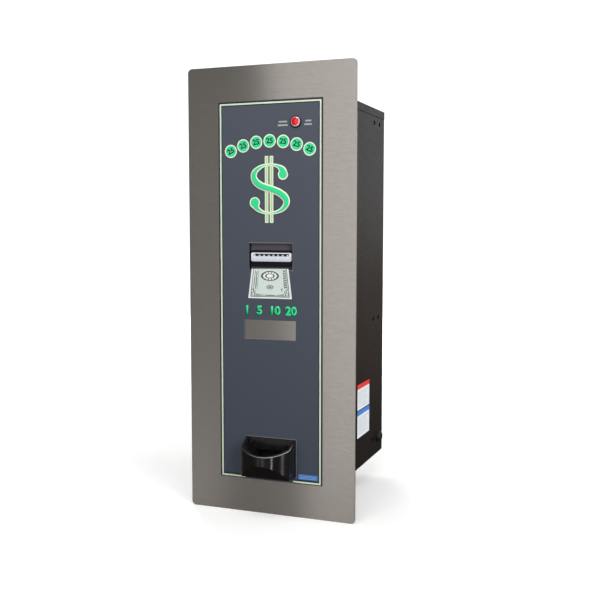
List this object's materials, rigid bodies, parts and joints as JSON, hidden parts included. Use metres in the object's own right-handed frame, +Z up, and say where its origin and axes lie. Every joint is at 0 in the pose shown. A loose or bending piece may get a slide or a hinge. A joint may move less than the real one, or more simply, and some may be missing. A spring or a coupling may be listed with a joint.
{
  "type": "coin changer dispenser",
  "caption": "Tall through-the-wall bill changer: brushed trim plate with note slot, service lamp and coin cup, on a narrow rear-loading cabinet with hopper, note stacker and controls.",
  "frame": {"origin": "centre of the trim flange's rear face, which rests on the wall", "axes": "+Z up, +Y back into the wall, +X to the right seen from the front"},
  "size_m": [0.328, 0.429, 0.825],
  "materials": {
    "brushed_stainless": "brushed along its height",
    "printed_film": "printed film, satin",
    "lamp_ring": "black moulded ring",
    "lamp_lens": "translucent red",
    "fixing_steel": "zinc plated",
    "entry_moulding": "fine moulded texture",
    "lit_bezel": "translucent, lit from behind",
    "cup_gloss": "glossy black",
    "cabinet_paint": "satin black powder coat",
    "hinge_steel": "plain steel",
    "lock_chrome": "plated",
    "plated_sheet": "zinc plated sheet",
    "black_nylon": "moulded nylon",
    "bright_steel": "ground steel",
    "roller_rubber": "soft rubber on steel",
    "belt_rubber": "smooth rubber",
    "acetal": "natural acetal",
    "motor_steel": "plated can",
    "magazine_plastic": "moulded",
    "spring_steel": "wire",
    "hopper_plastic": "glass filled nylon",
    "disc_red": "moulded acetal",
    "circuit_board": "solder mask",
    "board_parts": "moulded parts",
    "board_spacer": "nylon",
    "display_face": "dark red face",
    "button_green": "moulded",
    "button_red": "moulded",
    "supply_case": "plated case"
  },
  "bodies": {
    "cabinet": {"bill_bezel": "lit_bezel", "board_components": "board_parts", "board_spacers": "board_spacer", "cabinet_cap": "cabinet_paint", "cabinet_shell": "cabinet_paint", "coin_bin": "hopper_plastic", "coin_chute": "cabinet_paint", "coin_cup": "cup_gloss", "coin_sensor": "black_nylon", "control_board": "circuit_board", "count_display": "display_face", "cup_fixings": "fixing_steel", "disc_bush": "acetal", "eject_spring": "spring_steel", "entry_tray": "entry_moulding", "gland_body": "black_nylon", "gland_nut": "fixing_steel", "graphics_overlay": "printed_film", "hinge_frame_leaf": "hinge_steel", "hinge_pin": "hinge_steel", "hopper_base": "hopper_plastic", "hopper_motor": "motor_steel", "hopper_shelf": "plated_sheet", "lamp_body": "lamp_ring", "lamp_lens": "lamp_lens", "lamp_nut": "fixing_steel", "note_magazine": "magazine_plastic", "plate_nuts": "fixing_steel", "power_supply": "supply_case", "pressure_spring": "spring_steel", "pusher_guide": "black_nylon", "stacker_chassis": "plated_sheet", "stacker_motor": "motor_steel", "switch_frame": "board_parts", "transport_belts": "belt_rubber", "transport_lower": "black_nylon", "transport_motor": "motor_steel", "transport_upper": "black_nylon", "trim_plate": "brushed_stainless"},
    "rear_door": {"rear_door": "cabinet_paint", "hinge_door_leaf": "hinge_steel", "lock_housing": "lock_chrome"},
    "latch": {"t_handle": "lock_chrome", "latch_cam": "plated_sheet", "cam_nut": "fixing_steel"},
    "hopper_disc": {"coin_disc": "disc_red", "hopper_agitator": "disc_red", "disc_gear": "acetal"},
    "hopper_pinion": {"hopper_pinion": "bright_steel"},
    "eject_arm": {"eject_arm": "disc_red"},
    "transport_drive": {"drive_shaft": "roller_rubber", "drive_gear": "acetal"},
    "transport_idler": {"idler_shaft": "roller_rubber"},
    "transport_pinion": {"transport_pinion": "bright_steel"},
    "stacker_pusher": {"stacker_pusher": "acetal"},
    "pressure_plate": {"pressure_plate": "plated_sheet"},
    "magazine_lid": {"magazine_lid": "magazine_plastic"},
    "test_button": {"test_button": "button_green"},
    "reset_button": {"reset_button": "button_red"},
    "power_rocker": {"power_rocker": "board_parts"}
  },
  "joints": [
    {"name": "rear_door_swing", "type": "hinge", "parent": "cabinet", "child": "rear_door", "pos_m": [-0.1174, 0.3536, 0], "axis": [0, 0, 1], "range_deg": [0, 110]},
    {"name": "latch_turn", "type": "hinge", "parent": "rear_door", "child": "latch", "pos_m": [0.075, 0.353, 0], "axis": [0, 1, 0], "range_deg": [-90, 0]},
    {"name": "hopper_disc_spin", "type": "hinge", "parent": "cabinet", "child": "hopper_disc", "pos_m": [0, 0.158, -0.2], "axis": [0, 0, 1], "continuous": true},
    {"name": "hopper_pinion_spin", "type": "hinge", "parent": "cabinet", "child": "hopper_pinion", "pos_m": [0, 0.203, -0.212], "axis": [0, 0, 1], "continuous": true},
    {"name": "eject_arm_swing", "type": "hinge", "parent": "cabinet", "child": "eject_arm", "pos_m": [-0.021, 0.066, -0.194], "axis": [0, 0, 1], "range_deg": [0, 15], "stiffness_Nm_per_rad": 0.08, "springref_deg": -11.46, "deforming": ["eject_spring"]},
    {"name": "transport_drive_spin", "type": "hinge", "parent": "cabinet", "child": "transport_drive", "pos_m": [0.0015, 0.026, 0.079], "axis": [1, 0, 0], "continuous": true},
    {"name": "transport_idler_spin", "type": "hinge", "parent": "cabinet", "child": "transport_idler", "pos_m": [0.0015, 0.07, 0.079], "axis": [1, 0, 0], "continuous": true},
    {"name": "transport_pinion_spin", "type": "hinge", "parent": "cabinet", "child": "transport_pinion", "pos_m": [0.03, 0.026, 0.105], "axis": [1, 0, 0], "continuous": true},
    {"name": "stacker_push", "type": "slide", "parent": "cabinet", "child": "stacker_pusher", "axis": [0, 1, 0], "range_m": [0, 0.016]},
    {"name": "pressure_plate_slide", "type": "slide", "parent": "cabinet", "child": "pressure_plate", "axis": [0, 1, 0], "range_m": [0, 0.016], "deforming": ["pressure_spring"]},
    {"name": "magazine_lid_swing", "type": "hinge", "parent": "cabinet", "child": "magazine_lid", "pos_m": [0.0015, 0.17, 0.28125], "axis": [-1, 0, 0], "range_deg": [0, 90]},
    {"name": "test_button_press", "type": "slide", "parent": "cabinet", "child": "test_button", "axis": [-1, 0, 0], "range_m": [0, 0.0015], "stiffness_N_per_m": 400, "springref_m": -0.001},
    {"name": "reset_button_press", "type": "slide", "parent": "cabinet", "child": "reset_button", "axis": [-1, 0, 0], "range_m": [0, 0.0015], "stiffness_N_per_m": 400, "springref_m": -0.001},
    {"name": "power_rocker_tilt", "type": "hinge", "parent": "cabinet", "child": "power_rocker", "pos_m": [0.0835, 0.329, 0.26], "axis": [1, 0, 0], "range_deg": [0, 24]}
  ],
  "couplings": [
    {"joint": "hopper_pinion_spin", "follows": "hopper_disc_spin", "ratio": -4},
    {"joint": "transport_idler_spin", "follows": "transport_drive_spin", "ratio": 1},
    {"joint": "transport_pinion_spin", "follows": "transport_drive_spin", "ratio": -2.25},
    {"joint": "pressure_plate_slide", "follows": "stacker_push", "ratio": 1}
  ]
}
